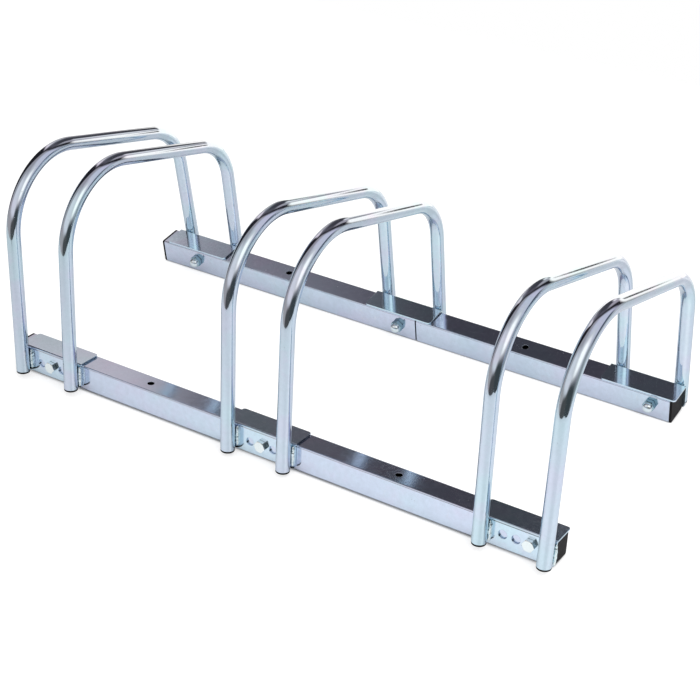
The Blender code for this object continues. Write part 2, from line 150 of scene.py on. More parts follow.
def smoothUnder(thing, degrees):    # smooth shading, but for edges that turn by more than this
    thing.data.shade_smooth()
    thing.data.set_sharp_from_angle(angle=math.radians(degrees))


def roundEdges(thing, width, segments=2, degrees=40):
    addBevel(thing, width, segments, degrees)
    thing.data.shade_smooth()
    addModifier(thing, "WEIGHTED_NORMAL", keep_sharp=True, weight=100)
    bake(thing)


def trimEdges(thing, width):    # machined parts: fine bevels between flats that stay flat
    addBevel(thing, width, 2, 25)
    bake(thing)
    smoothUnder(thing, 12)


def roundBar(name, radius, start, end):
    start, end = Vector(start), Vector(end)
    run = end - start
    turn = run.to_track_quat("Z", "Y").to_matrix().to_4x4()
    work = bmesh.new()
    bmesh.ops.create_cone(work, cap_ends=True, segments=48, radius1=radius, radius2=radius,
                          depth=run.length, matrix=Matrix.Translation((start + end) / 2) @ turn)
    return fromBmesh(name, work)


def anglesFrom(first, last, steps):    # degrees in, radians out
    return [math.radians(first + (last - first) * step / steps) for step in range(steps + 1)]


def roundedSquare(half, radius, steps):
    points = []
    for corner in range(4):
        middle = math.radians(45 + 90 * corner)
        centre = Vector((math.copysign(half - radius, math.cos(middle)),
                         math.copysign(half - radius, math.sin(middle))))
        for angle in anglesFrom(90 * corner, 90 * corner + 90, steps):
            points.append(centre + radius * Vector((math.cos(angle), math.sin(angle))))
    return points


def joinRings(work, first, second):
    for i in range(len(first)):
        j = (i + 1) % len(first)
        work.faces.new((first[i], first[j], second[j], second[i]))


def extrudeOutline(name, points, place, depth):
    # a flat outline carried to x, y, z by place and drawn out both ways by half the depth
    work = bmesh.new()
    rings = [[work.verts.new(place(a, b, way * depth / 2)) for a, b in points] for way in (-1, 1)]
    work.faces.new(rings[0])
    work.faces.new(rings[1])
    joinRings(work, *rings)
    return fromBmesh(name, work)


def turnProfile(name, profile, axis, steps):    # radius and height pairs, turned about the axis
    work = bmesh.new()
    verts = [work.verts.new(Vector((radius, 0, 0)) + high * Vector(axis)) for radius, high in profile]
    edges = [work.edges.new(pair) for pair in zip(verts, verts[1:])]
    bmesh.ops.spin(work, geom=verts + edges, cent=(0, 0, 0), axis=axis, angle=math.tau, steps=steps,
                   use_duplicate=False)
    bmesh.ops.remove_doubles(work, verts=work.verts, dist=1e-6)
    return fromBmesh(name, work)


def joinPieces(first, others):
    work = bmesh.new()
    work.from_mesh(first.data)
    for other in others:
        work.from_mesh(other.data)
    work.to_mesh(first.data)
    work.free()
    for other in others:
        bpy.data.objects.remove(other, do_unlink=True)


def finishPiece(thing, material, nodes=()):
    thing.data.materials.clear()
    thing.data.materials.append(material)
    for face in thing.data.polygons:
        face.material_index = 0
    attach(thing, "root")
    if nodes:
        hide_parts(*nodes)


# Node trees

def feed(tree, node, inputs):    # each value is a number or colour, a socket, or a node's first output
    for key, value in inputs.items():
        if isinstance(value, bpy.types.Node):
            value = value.outputs[0]
        if isinstance(value, bpy.types.NodeSocket):
            tree.links.new(value, node.inputs[key])
        else:
            node.inputs[key].default_value = value


def addNode(tree, kind, inputs=None, **values):
    node = tree.nodes.new(kind)
    for key, value in values.items():
        setattr(node, key, value)
    feed(tree, node, inputs or {})
    return node


def socketKind(value):
    if isinstance(value, str):
        return "NodeSocket" + value
    if isinstance(value, (int, float)):
        return "NodeSocket" + type(value).__name__.capitalize()
    return "NodeSocketColor" if len(value) == 4 else "NodeSocketVector"


def newTree(kind, name, inputs, outputs):    # an input is given by its default, or its kind if it has none
    tree = bpy.data.node_groups.new(name, kind)
    for label, value in inputs.items():
        socket = tree.interface.new_socket(label, in_out="INPUT", socket_type=socketKind(value))
        if not isinstance(value, str):
            socket.default_value = value
    for label, value in outputs.items():
        tree.interface.new_socket(label, in_out="OUTPUT", socket_type=socketKind(value))
    start = tree.nodes.new("NodeGroupInput")
    return tree, start.outputs, tree.nodes.new("NodeGroupOutput")


def growWith(thing, tree, **values):    # values by input name, spaces left out
    step = thing.modifiers.new(tree.name, "NODES")
    step.node_group = tree
    for socket in tree.interface.items_tree:
        key = socket.name.replace(" ", "")
        if socket.in_out == "INPUT" and key in values:
            step[socket.identifier] = values[key]
    bake(thing)


def endTree(tree, end, name, geometry, finish):
    real = addNode(tree, "GeometryNodeRealizeInstances", {"Geometry": geometry})
    paint = addNode(tree, "GeometryNodeSetMaterial", {"Geometry": real, "Material": finish})
    feed(tree, end, {name: paint})


def calc(tree, operation, *values):
    return addNode(tree, "ShaderNodeMath", dict(enumerate(values)), operation=operation)


def vectorCalc(tree, operation, *values, **named):
    return addNode(tree, "ShaderNodeVectorMath", {**dict(enumerate(values)), **named},
                   operation=operation)


def ramp(tree, value, low, high, bottom=0.0, top=1.0, kind="SMOOTHSTEP"):
    return addNode(tree, "ShaderNodeMapRange",
                   {"Value": value, "From Min": low, "From Max": high, "To Min": bottom, "To Max": top},
                   interpolation_type=kind)


def addNoise(tree, vector, scale, detail, roughness=0.5, seed=None, distortion=0.0):
    inputs = {"Vector": vector, "Scale": scale, "Detail": detail, "Roughness": roughness,
              "Distortion": distortion}
    if seed is None:
        return addNode(tree, "ShaderNodeTexNoise", inputs)
    return addNode(tree, "ShaderNodeTexNoise", {**inputs, "W": seed}, noise_dimensions="4D")


def mixColours(tree, factor, first, second, blend="MIX"):
    values = {0: factor, 6: first, 7: second}
    values = {key: (*value, 1) if isinstance(value, tuple) else value for key, value in values.items()}
    return addNode(tree, "ShaderNodeMix", values, data_type="RGBA", blend_type=blend).outputs[2]


# Hoops

hoop = {
    "wall": 0.0012,
    "bend": {"front": 0.0847, "rear": 0.0700},
    "barSlope": math.radians(19.1),
    "frontLegRise": 0.1747,
    "spacing": {"front": 0.0728, "rear": 0.0708},
    "pairShift": (0.0005, -0.0014, 0.0009),
    "sidewaysLean": (-1.25, 0.1, -0.3, 0.4, -0.4, 0.4),    # degrees
    "frontFootRise": (0.0, -0.0012, 0.0024),
    "bendPoints": 40,
    "sides": 48,
}


def legLine(side, up):    # in y and z: the leg's middle at a height up the rail, and its direction
    lean, out = rack["lean"][side], (-1 if side == "front" else 1)
    corner = Vector((out * rack["railSpread"] / 2, cornerHeight(lean)))
    away = Vector((out * math.cos(lean), math.sin(lean)))
    rise = Vector((-out * math.sin(lean), math.cos(lean)))
    return corner + legOffset * away + up * rise, rise


tubeEnd = rack["footHeight"] + rack["plugRim"] + rack["gap"]
footOf = {side: legLine(side, tubeEnd)[0] for side in sides}
riseOf = {side: legLine(side, tubeEnd)[1] for side in sides}


def hoopCorners():
    # where the straight runs of the tube's centre line would meet: front leg and bar, bar and rear leg
    headings = (math.radians(90) - rack["lean"]["front"], -hoop["barSlope"],
                rack["lean"]["rear"] - math.radians(90))
    along = [Vector((math.cos(h), math.sin(h))) for h in headings]
    bendStart = footOf["front"] + along[0] * (hoop["frontLegRise"] - footOf["front"].y) / along[0].y
    tall = bendStart + along[0] * hoop["bend"]["front"] * math.tan((headings[0] - headings[1]) / 2)
    reach = (footOf["rear"] - tall).cross(along[2]) / along[1].cross(along[2])
    return tall, tall + along[1] * reach


def hoopPlacement(number):
    pair, hand = divmod(number, 2)
    across = -0.5 if hand == 0 else 0.5
    frontX = bracketMiddle("front", pair) + hoop["pairShift"][pair] + across * hoop["spacing"]["front"]
    rearX = bracketMiddle("rear", pair) + across * hoop["spacing"]["rear"]
    frontY, rearY = footOf["front"].x, footOf["rear"].x
    turn = -math.atan2(rearX - frontX, rearY - frontY)
    lean = math.radians(hoop["sidewaysLean"][number])
    return (Matrix.Translation((frontX, frontY, 0)) @ Matrix.Rotation(turn, 4, "Z")
            @ Matrix.Rotation(lean, 4, "Y") @ Matrix.Translation((0, -frontY, 0)))


def makeTubeTree():
    # a polyline with a bend radius at each corner becomes a bent tube; "skin" is the straight
    # tube's own x, y and length at each point, so that the drawn lines follow the bends
    tree, start, end = newTree(
        "GeometryNodeTree", "bentTube",
        {"Centre Line": "Geometry", "Tube Radius": rack["tubeRadius"], "Bend Points": hoop["bendPoints"],
         "Sides": hoop["sides"], "Finish": "Material"},
        {"Tube": "Geometry"})
    line = addNode(tree, "GeometryNodeMeshToCurve", {"Mesh": start["Centre Line"]})
    bends = addNode(tree, "GeometryNodeInputNamedAttribute", {"Name": "bendRadius"}, data_type="FLOAT")
    fillet = addNode(tree, "GeometryNodeFilletCurve",
                     {"Curve": line, "Count": start["Bend Points"],
                      "Radius": bends.outputs["Attribute"]}, mode="POLY")
    run = addNode(tree, "GeometryNodeSplineParameter")
    keepRun = addNode(tree, "GeometryNodeCaptureAttribute", {"Geometry": fillet})
    keepRun.capture_items.new("FLOAT", "run")
    ring = addNode(tree, "GeometryNodeCurvePrimitiveCircle",
                   {"Resolution": start["Sides"], "Radius": start["Tube Radius"]})
    keepRing = addNode(tree, "GeometryNodeCaptureAttribute", {"Geometry": ring})
    keepRing.capture_items.new("VECTOR", "ring")
    feed(tree, keepRun, {"run": run.outputs["Length"]})
    feed(tree, keepRing, {"ring": addNode(tree, "GeometryNodeInputPosition")})
    sweep = addNode(tree, "GeometryNodeCurveToMesh", {"Curve": keepRun, "Profile Curve": keepRing})
    split = addNode(tree, "ShaderNodeSeparateXYZ", {0: keepRing.outputs["ring"]})
    skin = addNode(tree, "ShaderNodeCombineXYZ",
                   {0: split.outputs[0], 1: split.outputs[1], 2: keepRun.outputs["run"]})
    store = addNode(tree, "GeometryNodeStoreNamedAttribute",
                    {"Geometry": sweep, "Name": "skin", "Value": skin},
                    data_type="FLOAT_VECTOR", domain="POINT")
    soft = addNode(tree, "GeometryNodeSetShadeSmooth", {"Geometry": store})
    endTree(tree, end, "Tube", soft, start["Finish"])
    return tree


def makeHoop(number, tree, material):    # gives back its placement and foot ends, for the plugs
    place = hoopPlacement(number)
    rise = {"front": hoop["frontFootRise"][number // 2], "rear": 0.0}
    ends = {side: footOf[side] + rise[side] * riseOf[side] for side in sides}
    line = [ends["front"], *hoopCorners(), ends["rear"]]
    mesh = bpy.data.meshes.new("hoop")
    mesh.from_pydata([place @ Vector((0, *p)) for p in line], [(0, 1), (1, 2), (2, 3)], [])
    radii = mesh.attributes.new("bendRadius", "FLOAT", "POINT")
    radii.data.foreach_set("value", [0.0, hoop["bend"]["front"], hoop["bend"]["rear"], 0.0])
    tube = newObject(f"tube_hoop_{number + 1}", mesh)
    growWith(tube, tree, TubeRadius=rack["tubeRadius"], BendPoints=hoop["bendPoints"], Sides=hoop["sides"],
             Finish=material)
    addModifier(tube, "SOLIDIFY", thickness=hoop["wall"], offset=-1, use_rim=True)
    bake(tube)
    smoothUnder(tube, 50)
    finishPiece(tube, material, [f"hoop_{number + 1}"])
    return place, ends


# Rails

rail = {
    "wall": 0.0015,
    "cornerSteps": 8,
    "seamFromLeft": 0.379,
    "seamGap": 0.0014,
    "tongue": 0.060,
    "taper": 0.004,
    "anchorRadius": 0.004,
    "anchorFromEnd": 0.1885,
    "capRim": 0.0026,
    "holeRadius": 0.0043,
    "edge": 0.00025,
}


def squareTube(name, stations):    # stations are x, half the outer side and half the bore
    work = bmesh.new()
    centre = rack["railSide"] / 2
    rings = {"outer": [], "inner": []}
    # bore marks where the rail finish paints its dark colour: painted shade of the seam's groove, and partly
    # the bare steel inside the joint
    deep = work.verts.layers.float.new("bore")    # 1 inside the tube and on the tongue, 0 on the outside
    for x, outerHalf, innerHalf in stations:
        for skin, half in (("outer", outerHalf), ("inner", innerHalf)):
            radius = max(rack["railCorner"] - (centre - half), rack["railCorner"] / 4)
            ring = [work.verts.new((x, centre + a, centre + b))
                    for a, b in roundedSquare(half, radius, rail["cornerSteps"])]
            for vert in ring:
                vert[deep] = 1.0 if half < centre - rail["wall"] / 2 else 0.0
            rings[skin].append(ring)
    for skin in rings.values():
        for first, second in zip(skin, skin[1:]):
            joinRings(work, first, second)
    for end in (0, -1):
        joinRings(work, rings["outer"][end], rings["inner"][end])
    return fromBmesh(name, work)


def makeRails(side, material):
    hand = handOf[side]
    half = rack["railSide"] / 2
    bore = half - rail["wall"]
    tongue = bore - rack["gap"]
    tongueBore = tongue - rail["wall"]
    left = rack["leftEnd"]
    right = left + rack["railLength"][side]
    inset = rail["capRim"] + rack["gap"]
    seam = left + rail["seamFromLeft"]
    seamEnd = seam + rail["seamGap"]
    lengths = {
        "left": [(left + inset, half, bore), (seam, half, bore)],
        "right": [(seam - rail["tongue"], tongue, tongueBore), (seamEnd, tongue, tongueBore),
                  (seamEnd + rack["gap"], half, tongueBore), (seamEnd + rail["taper"], half, bore),
                  (right - inset, half, bore)],
    }
    anchors = {"left": left + rail["anchorFromEnd"], "right": right - rail["anchorFromEnd"]}
    for place, stations in lengths.items():
        piece = squareTube(f"square_rail_{side}_{place}",
                           [(hand * x, outer, inner) for x, outer, inner in stations])
        holes = [roundBar("hole", rail["anchorRadius"], (hand * anchors[place], half, -half),
                          (hand * anchors[place], half, rack["railSide"] + half))]
        for number in range(3):
            x, z = boltPlace(side, number)
            if stations[0][0] < hand * x < stations[-1][0]:
                holes.append(roundBar("hole", rail["holeRadius"], (x, -half, z),
                                      (x, rack["railSide"] + half, z)))
        cutWith(piece, holes)
        roundEdges(piece, rail["edge"])
        piece.data.transform(sideFrame[side])
        finishPiece(piece, material, [f"rail_{side}_{place}"])


# Brackets

bracket = {
    "length": 0.090,
    "fold": 0.003,
    "foldSteps": 8,
    "cornerRadius": 0.0035,
    "cornerSteps": 8,
    "drop": 0.0017,
    "rolledEdge": {"front": (0, 0, 0), "rear": (0, 0.0013, 0)},    # where the shear rolled the ends over
    "rolledSteps": 5,
    "edgeInset": 0.0005,
    "holeRadius": 0.005,
    "cutterEnd": 0.0015,    # how far into the rail the holes' cutters reach
    "edge": 0.00045,
}


def bracketOutline():
    top, bottom, outer = flangeTop, bracket["drop"], plateOuter
    edge = rack["railSide"] - bracket["edgeInset"]
    fold, inner = bracket["fold"], bracket["fold"] - rack["plate"]
    centre = Vector((outer + fold, top - fold))

    def arc(radius, first, last):
        return [tuple(centre + radius * Vector((math.cos(a), math.sin(a))))
                for a in anglesFrom(first, last, bracket["foldSteps"])]

    return ([(outer, bottom)] + arc(fold, 180, 90) + [(edge, top), (edge, top - rack["plate"])]
            + arc(inner, 90, 180) + [(outer + rack["plate"], bottom)])


def makeBracket(side, number, material):
    hand = handOf[side]
    middle = hand * bracketMiddle(side, number)
    piece = extrudeOutline(f"folded_bracket_{side}_{places[number]}", bracketOutline(),
                           lambda y, z, x: (middle + x, y, z), bracket["length"])
    work = bmesh.new()
    work.from_mesh(piece.data)

    def lies(p, q, axis, value):    # both ends of an edge, within a thousandth of a millimetre
        return max(abs(p[axis] - value), abs(q[axis] - value)) < 1e-6

    def isEnd(p, q):
        return any(lies(p, q, 0, middle + way * bracket["length"] / 2) for way in (-1, 1))

    def isFreeCorner(p, q):
        onEdge = lies(p, q, 1, rack["railSide"] - bracket["edgeInset"])
        return isEnd(p, q) and (onEdge or lies(p, q, 2, bracket["drop"]))

    def isSheared(p, q):
        return isEnd(p, q) and lies(p, q, 2, flangeTop)

    def roundOff(chosen, radius, steps):
        picked = [e for e in work.edges if chosen(e.verts[0].co, e.verts[1].co)]
        bmesh.ops.bevel(work, geom=picked, offset=radius, segments=steps, profile=0.5, affect="EDGES")

    roundOff(isFreeCorner, bracket["cornerRadius"], bracket["cornerSteps"])
    if bracket["rolledEdge"][side][number]:
        roundOff(isSheared, bracket["rolledEdge"][side][number], bracket["rolledSteps"])
    work.to_mesh(piece.data)
    work.free()
    high = rack["holeHeight"][side][number]
    across = [middle + hand * (rack["holeShift"] + rack["holePitch"] * k) for k in (-1, 0, 1)]
    cutWith(piece, [roundBar("hole", bracket["holeRadius"], (x, 2 * plateOuter, high),
                             (x, bracket["cutterEnd"], high)) for x in across])
    roundEdges(piece, bracket["edge"])
    piece.data.transform(sideFrame[side])
    finishPiece(piece, material, [f"bracket_{side}_{places[number]}"])


# Weld beads, lumpy fillets between the legs and the plates

weld = {
    "radius": 0.0021,
    "top": 0.0292,
    "bottom": 0.0050,
    "standoff": 0.0008,
    "rings": 60,
    "sides": 18,
    "lumps": 0.0024,
    "lumpScale": 260.0,
    "lumpDetail": 2.5,
    "lumpRoughness": 0.65,
    "endPower": 0.28,    # the lower, the blunter the ends
}


def makeWeldTree():
    # a bead that swells quickly from each end, with lumps where the torch paused
    tree, start, end = newTree(
        "GeometryNodeTree", "weldBead",
        {"Seam": "Geometry", "Bead Radius": weld["radius"], "Rings": weld["rings"],
         "Sides": weld["sides"], "Lump Height": weld["lumps"], "Lump Scale": weld["lumpScale"],
         "Seed": 0.0, "Finish": "Material"},
        {"Bead": "Geometry"})
    line = addNode(tree, "GeometryNodeMeshToCurve", {"Mesh": start["Seam"]})
    fine = addNode(tree, "GeometryNodeResampleCurve", {"Curve": line, "Count": start["Rings"]})
    run = addNode(tree, "GeometryNodeSplineParameter")
    dome = calc(tree, "SINE", calc(tree, "MULTIPLY", run.outputs["Factor"], math.pi))
    size = calc(tree, "MULTIPLY", calc(tree, "POWER", dome, weld["endPower"]), start["Bead Radius"])
    place = addNode(tree, "GeometryNodeInputPosition")
    noise = addNoise(tree, place, scale=start["Lump Scale"], detail=weld["lumpDetail"],
                     roughness=weld["lumpRoughness"], seed=start["Seed"])
    ring = addNode(tree, "GeometryNodeCurvePrimitiveCircle", {"Resolution": start["Sides"], "Radius": 1.0})
    sweep = addNode(tree, "GeometryNodeCurveToMesh",
                    {"Curve": fine, "Profile Curve": ring, "Scale": size, "Fill Caps": True})
    height = calc(tree, "MULTIPLY", calc(tree, "SUBTRACT", noise, 0.5), start["Lump Height"])
    push = vectorCalc(tree, "SCALE", addNode(tree, "GeometryNodeInputNormal"), Scale=height)
    lumpy = addNode(tree, "GeometryNodeSetPosition", {"Geometry": sweep, "Offset": push})
    soft = addNode(tree, "GeometryNodeSetShadeSmooth", {"Geometry": lumpy})
    endTree(tree, end, "Bead", soft, start["Finish"])
    return tree


def makeWelds(side, number, tree, material):
    reach = rack["tubeRadius"] + rack["gap"] + weld["radius"]
    axisOff = plateOuter - weld["standoff"]
    aside = math.sqrt(reach ** 2 - (legOffset + axisOff) ** 2)
    toSide = sideFrame[side].inverted()
    rise = Vector((0, *riseOf[side]))
    for hand in (0, 1):
        place = hoopPlacement(2 * number + hand)
        start = toSide @ (place @ Vector((0, *footOf[side])))
        ridge = toSide.to_3x3() @ (place.to_3x3() @ rise)
        for edge in (-1, 1):
            seam = [Vector((start.x + ridge.x / ridge.z * (high - start.z) + edge * aside, axisOff, high))
                    for high in (weld["bottom"], weld["top"])]
            mesh = bpy.data.meshes.new("seam")
            mesh.from_pydata(seam, [(0, 1)], [])
            bead = newObject(f"weld_{side}_{places[number]}_{2 * hand + (edge + 1) // 2 + 1}", mesh)
            growWith(bead, tree, BeadRadius=weld["radius"], Rings=weld["rings"], Sides=weld["sides"],
                     LumpHeight=weld["lumps"], LumpScale=weld["lumpScale"],
                     Seed=float(number * 8 + hand * 4 + edge + (20 if side == "rear" else 0)),
                     Finish=material)
            bead.data.transform(sideFrame[side])
            finishPiece(bead, material)


# Bolts and nuts

bolt = {
    "radius": 0.004,
    "headFlats": 0.0125,
    "nutFlats": 0.013,
    "headHeight": 0.0047,
    "nutHeight": 0.0055,
    "overshoot": 0.0015,
    "chamferAngle": {"head": math.radians(17), "nut": math.radians(28)},
    "dome": 0.0059,
    "neck": 0.0019,
    "domeHeight": 0.0044,
    "domeSteps": 20,
    "domeSides": 72,
    "edge": 0.00012,
    "pitch": 0.00125,
    "threadDepth": 0.00065,
    "threadLength": 0.012,
    "threadSides": 40,
    "rowsPerTurn": 10.0,
    "tipFade": 0.0007,
    "shankInset": 0.0001,
    "shankInHead": 0.001,
    "shankInThread": 0.0002,
    "boreSlack": 0.0002,
    "boreStart": -0.01,
    "boreClear": 0.001,
    "faceShare": 0.96,
    "hexSteps": 12,
    "headTurn": {"front": (-8, -8, -3), "rear": (0, 0, 0)},
    "nutTurn": {"front": (0, 0, 0), "rear": (23, 23, -2)},
}


def hexBlock(name, flats, height, turn, chamfer, chamferBoth):
    # a hexagon turned down at its corners by a cone, as the bar stock is; its outer face is at y 0
    inner = flats / 2 * bolt["faceShare"]
    steps = bolt["hexSteps"] * 6
    work = bmesh.new()
    rings = [[] for ring in range(4 if chamferBoth else 3)]
    for step in range(steps):
        angle = math.tau * step / steps
        reach = flats / 2 / math.cos((angle + math.pi / 6) % (math.pi / 3) - math.pi / 6)
        fall = (reach - inner) * math.tan(chamfer)
        x, z = math.sin(angle - math.radians(turn)), math.cos(angle - math.radians(turn))
        back = height - fall if chamferBoth else height
        for ring, radius, y in zip(rings, (inner, reach, reach, inner), (0, fall, back, height)):
            ring.append(work.verts.new((radius * x, y, radius * z)))
    for first, second in zip(rings, rings[1:]):
        joinRings(work, first, second)
    work.faces.new(rings[0])
    work.faces.new(rings[-1])
    return fromBmesh(name, work)


def makeDomeEnd():
    # the rounded cap of a domed nut, standing on the hexagon's outer face
    radius, foot, high = bolt["dome"], bolt["nutHeight"] + bolt["neck"], bolt["domeHeight"]
    arc = [(radius * math.cos(a), foot + high * math.sin(a)) for a in anglesFrom(0, 90, bolt["domeSteps"])]
    profile = [(0, foot / 2), (radius, foot / 2)] + arc[:-1] + [(0, foot + high)]
    return turnProfile("dome", profile, (0, 1, 0), bolt["domeSides"])


def makeThreadTree():
    # a rod whose radius follows a helix, so that the thread is one closed skin
    tree, start, end = newTree(
        "GeometryNodeTree", "threadedRod",
        {"Base": "Geometry", "Radius": bolt["radius"], "Length": bolt["threadLength"],
         "Pitch": bolt["pitch"], "Depth": bolt["threadDepth"], "Finish": "Material"},
        {"Rod": "Geometry"})
    rows = calc(tree, "MULTIPLY", calc(tree, "DIVIDE", start["Length"], start["Pitch"]), bolt["rowsPerTurn"])
    rod = addNode(tree, "GeometryNodeMeshCylinder",
                  {"Vertices": bolt["threadSides"], "Side Segments": rows, "Fill Segments": 3,
                   "Radius": start["Radius"], "Depth": start["Length"]})
    place = addNode(tree, "GeometryNodeInputPosition")
    part = addNode(tree, "ShaderNodeSeparateXYZ", {0: place}).outputs
    turns = calc(tree, "DIVIDE", calc(tree, "ARCTAN2", part[1], part[0]), math.tau)
    phase = calc(tree, "SUBTRACT", calc(tree, "DIVIDE", part[2], start["Pitch"]), turns)
    groove = calc(tree, "MULTIPLY", calc(tree, "PINGPONG", phase, 0.5), 2.0)
    away = calc(tree, "SUBTRACT", calc(tree, "MULTIPLY", start["Length"], 0.5), part[2])
    tip = ramp(tree, away, 0.0, bolt["tipFade"], 1.0, 0.0, "LINEAR")    # the chamfer ends the last turn
    sink = calc(tree, "MULTIPLY", calc(tree, "MAXIMUM", groove, tip), start["Depth"])
    flat = vectorCalc(tree, "MULTIPLY", place, (1, 1, 0))
    share = calc(tree, "DIVIDE", vectorCalc(tree, "LENGTH", flat).outputs["Value"], start["Radius"])
    inward = calc(tree, "MULTIPLY", calc(tree, "MULTIPLY", sink, share), -1.0)
    push = vectorCalc(tree, "SCALE", vectorCalc(tree, "NORMALIZE", flat), Scale=inward)
    shaped = addNode(tree, "GeometryNodeSetPosition", {"Geometry": rod, "Offset": push})
    endTree(tree, end, "Rod", shaped, start["Finish"])
    return tree


def makeBolt(side, number, tree, material, nutMaterial):
    hand = handOf[side]
    x, z = boltPlace(side, number)
    headFace = plateOuter - rack["gap"]
    nutStart = rack["railSide"] + rack["gap"]
    tip = nutStart + bolt["nutHeight"] + bolt["overshoot"]
    threadStart = tip - bolt["threadLength"]

    head = hexBlock(f"hex_bolt_{side}_{places[number]}", bolt["headFlats"], bolt["headHeight"],
                    hand * bolt["headTurn"][side][number], bolt["chamferAngle"]["head"], False)
    trimEdges(head, bolt["edge"])
    head.data.transform(Matrix.Translation((x, headFace - bolt["headHeight"], z)))
    shank = roundBar("shank", bolt["radius"] - bolt["shankInset"], (x, headFace - bolt["shankInHead"], z),
                     (x, threadStart + bolt["shankInThread"], z))
    smoothUnder(shank, 40)
    thread = newObject("thread", bpy.data.meshes.new("thread"))
    growWith(thread, tree, Radius=bolt["radius"], Length=bolt["threadLength"], Pitch=bolt["pitch"],
             Depth=bolt["threadDepth"], Finish=material)
    thread.data.transform(Matrix.Translation((x, threadStart + bolt["threadLength"] / 2, z))
                          @ Matrix.Rotation(math.radians(-90), 4, "X"))
    smoothUnder(thread, 40)
    joinPieces(head, [shank, thread])
    head.data.transform(sideFrame[side])
    finishPiece(head, material, [f"bolt_{side}_{places[number]}"])

    nut = hexBlock(f"domed_nut_{side}_{places[number]}", bolt["nutFlats"], bolt["nutHeight"],
                   hand * bolt["nutTurn"][side][number], bolt["chamferAngle"]["nut"], True)
    cutWith(nut, [makeDomeEnd()], "UNION")
    cutWith(nut, [roundBar("bore", bolt["radius"] + bolt["boreSlack"], (0, bolt["boreStart"], 0),
                           (0, bolt["nutHeight"] + bolt["overshoot"] + bolt["boreClear"], 0))])
    trimEdges(nut, bolt["edge"])
    # the nut finish paints the hexagon a dark teal and the dome bright: painted shade and dark reflections
    # on the hexagon's faces
    flank = nut.data.attributes.new("flank", "FLOAT", "FACE")    # 1 on the hexagon, 0 on the dome
    flank.data.foreach_set("value", [1.0 if face.center.y < bolt["nutHeight"] + 1e-5 else 0.0
                                     for face in nut.data.polygons])
    nut.data.transform(sideFrame[side] @ Matrix.Translation((x, nutStart, z)))
    finishPiece(nut, nutMaterial, [f"nut_{side}_{places[number]}"])


# Plastic caps and plugs

plastic = {
    "capEdge": 0.0006,
    "capInsert": 0.012,
    "capInsertWall": 0.0016,
    "capOverlap": 0.0005,
    "capCutterClear": 0.002,
    "plugInset": 0.0001,
    "plugStem": 0.012,
    "plugEdge": 0.0007,
    "plugBackEdge": 0.0003,
    "plugSides": 48,
    "tubeBore": 0.0068,
}


def makeCap(side, place, material):
    hand = handOf[side]
    outward = hand if place == "right" else -hand
    face = hand * (rack["leftEnd"] + (rack["railLength"][side] if place == "right" else 0))
    half, corner = rack["railSide"] / 2, rack["railCorner"]
    rim, reach = rail["capRim"], plastic["capInsert"]
    insertHalf = half - rail["wall"] - rack["gap"]

    def block(name, outline, inward, depth):
        return extrudeOutline(name, roundedSquare(*outline),
                              lambda a, b, c: (face - outward * inward + c, half + a, half + b), depth)

    cap = block(f"push_in_cap_{side}_{place}", (half, corner, 8), rim / 2, rim)
    roundEdges(cap, plastic["capEdge"], 4, 50)
    insert = block("insert", (insertHalf, corner / 2, 4), rim + reach / 2 - plastic["capOverlap"], reach)
    hollow = block("hollow", (insertHalf - plastic["capInsertWall"], corner / 4, 4), rim + reach / 2,
                   reach + plastic["capCutterClear"])
    cutWith(insert, [hollow])
    joinPieces(cap, [insert])
    cap.data.transform(sideFrame[side])
    finishPiece(cap, material, [f"end_cap_{side}_{place}"])


def makePlug(side, number, place, end, material):
    rim = rack["tubeRadius"] - plastic["plugInset"]
    stem = plastic["tubeBore"] - rack["gap"]
    high = rack["plugRim"] + plastic["plugStem"]
    edge, backEdge = plastic["plugEdge"], plastic["plugBackEdge"]
    rounded = [(rim - edge * (1 - math.cos(a)), edge * (1 - math.sin(a))) for a in anglesFrom(0, 90, 5)]
    profile = [(0, high), (stem, high), (stem, rack["plugRim"]), (rim - backEdge, rack["plugRim"]),
               (rim, rack["plugRim"] - backEdge)] + rounded + [(0, 0)]
    plug = turnProfile(f"round_plug_{side}_{number + 1}", profile, (0, 0, 1),
                       plastic["plugSides"])
    rise = Vector((0, *riseOf[side]))
    base = Vector((0, *end)) - rise * (rack["gap"] + rack["plugRim"])
    plug.data.transform(place @ Matrix.Translation(base) @ rise.to_track_quat("Z", "Y").to_matrix().to_4x4())
    smoothUnder(plug, 50)
    finishPiece(plug, material, [f"foot_plug_{side}_{number + 1}"])
